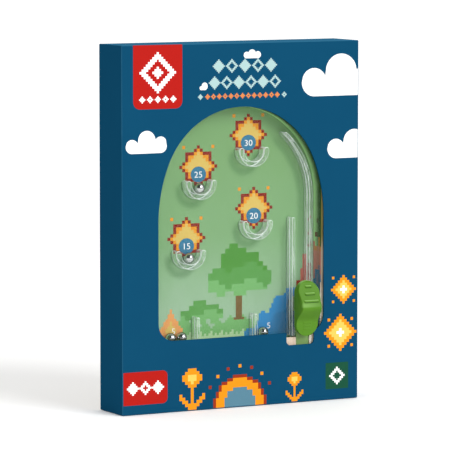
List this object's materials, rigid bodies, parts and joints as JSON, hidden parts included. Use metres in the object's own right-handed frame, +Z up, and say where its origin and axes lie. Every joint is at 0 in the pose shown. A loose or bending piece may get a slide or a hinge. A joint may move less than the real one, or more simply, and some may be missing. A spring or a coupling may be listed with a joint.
{
  "type": "handheld pinball game",
  "caption": "Pocket pinball game with thumb launcher, clear scoring cups and steel balls, standing in a windowed card carton with an arched opening.",
  "frame": {"origin": "centre of the carton's bottom face, on the surface that it stands on", "axes": "+Z up the height of the carton, +X to the right seen from the front, +Y from the windowed front to the back"},
  "size_m": [0.147, 0.0358, 0.2],
  "materials": {
    "printed_card": "matt laminated print",
    "plain_card": "uncoated",
    "beech": "satin lacquer",
    "plywood": "sanded",
    "printed_board": "printed, satin",
    "clear_plastic": "polished, see-through",
    "green_plastic": "satin moulded",
    "ball_steel": "polished",
    "spring_steel": "drawn wire",
    "screw_steel": "zinc plated"
  },
  "bodies": {
    "base": {"box_base": "plain_card", "box_insert": "plain_card"},
    "cover": {"box_cover": "printed_card"},
    "game": {"frame": "beech", "playfield": "printed_board", "back_panel": "plywood", "clear_cover": "clear_plastic", "cup_15": "clear_plastic", "cup_20": "clear_plastic", "cup_25": "clear_plastic", "cup_30": "clear_plastic", "divider_left": "clear_plastic", "divider_right": "clear_plastic", "lane_rail": "clear_plastic", "launch_rail": "clear_plastic", "launch_spring": "spring_steel", "back_screw_1": "screw_steel", "back_screw_2": "screw_steel", "back_screw_3": "screw_steel", "back_screw_4": "screw_steel"},
    "launcher": {"launcher_slider": "green_plastic", "launcher_knob": "green_plastic"},
    "ball_1": {"ball_1": "ball_steel"},
    "ball_2": {"ball_2": "ball_steel"},
    "ball_3": {"ball_3": "ball_steel"},
    "ball_4": {"ball_4": "ball_steel"},
    "ball_5": {"ball_5": "ball_steel"}
  },
  "joints": [
    {"name": "cover_lift", "type": "slide", "parent": "base", "child": "cover", "axis": [0, -1, 0], "range_m": [0, 0.16]},
    {"name": "game_lift", "type": "slide", "parent": "base", "child": "game", "axis": [0, -1, 0], "range_m": [0, 0.08]},
    {"name": "launcher_pull", "type": "slide", "parent": "game", "child": "launcher", "axis": [0, 0, -1], "range_m": [0, 0.009], "stiffness_N_per_m": 120, "springref_m": -0.004, "deforming": ["launch_spring"]},
    {"name": "ball_1_roll", "type": "slide", "parent": "game", "child": "ball_1", "axis": [0, 0, 1], "range_m": [0, 0.03]},
    {"name": "ball_2_roll", "type": "slide", "parent": "game", "child": "ball_2", "axis": [0, 0, 1], "range_m": [0, 0.026]},
    {"name": "ball_3_roll", "type": "slide", "parent": "game", "child": "ball_3", "axis": [0, 0, 1], "range_m": [0, 0.03]},
    {"name": "ball_4_roll", "type": "slide", "parent": "game", "child": "ball_4", "axis": [0, 0, 1], "range_m": [0, 0.03]},
    {"name": "ball_5_roll", "type": "slide", "parent": "game", "child": "ball_5", "axis": [0, 0, 1], "range_m": [0, 0.045]}
  ],
  "couplings": [
    {"joint": "game_lift", "follows": "cover_lift", "ratio": 0.5}
  ]
}
